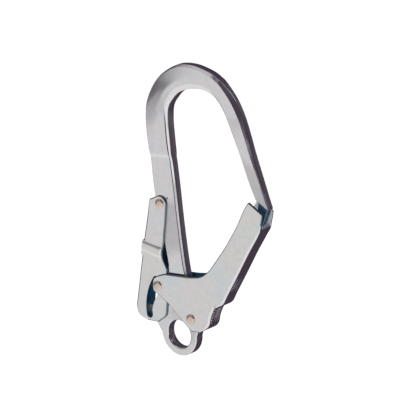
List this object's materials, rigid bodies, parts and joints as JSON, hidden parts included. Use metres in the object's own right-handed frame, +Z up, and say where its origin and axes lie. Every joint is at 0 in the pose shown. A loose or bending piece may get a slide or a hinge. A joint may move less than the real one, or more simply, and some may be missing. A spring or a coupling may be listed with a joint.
{
  "type": "scaffold snap hook",
  "caption": "Large forged safety hook with a riveted eye, an inward-swinging channel gate and a squeeze lever that locks it.",
  "frame": {"origin": "centre of the eye's bore, at mid thickness of the forging", "axes": "+Z up the shank to the crown, +X to the gate and nose, +Y through the thickness, along the eye's bore"},
  "size_m": [0.1397, 0.0168, 0.2317],
  "materials": {
    "forged_zinc": "bright zinc plate over a smooth forging",
    "sheet_zinc": "bright zinc plate over stamped sheet, faint pastel passivation",
    "rivet_zinc": "zinc plate with a warm yellow tint",
    "spacer_steel": "plain zinc plate",
    "spring_steel": "drawn spring wire"
  },
  "bodies": {
    "hook": {"hook_body": "forged_zinc", "gate_rivet": "rivet_zinc", "lever_rivet": "rivet_zinc", "gate_spacer_front": "spacer_steel", "gate_spacer_back": "spacer_steel", "gate_spring": "spring_steel", "lever_spring": "spring_steel"},
    "gate": {"gate": "sheet_zinc", "lock_pin": "rivet_zinc"},
    "lever": {"lock_lever": "sheet_zinc"}
  },
  "joints": [
    {"name": "gate_hinge", "type": "hinge", "parent": "hook", "child": "gate", "pos_m": [0.0159, 0, 0.0146], "axis": [0, -1, 0], "range_deg": [0, 33], "stiffness_Nm_per_rad": 0.35, "springref_deg": -28.65},
    {"name": "lever_hinge", "type": "hinge", "parent": "hook", "child": "lever", "pos_m": [-0.0053, 0, 0.1031], "axis": [0, -1, 0], "range_deg": [0, 2.97]}
  ],
  "couplings": [
    {"joint": "lever_hinge", "follows": "gate_hinge", "ratio": 0.09}
  ]
}
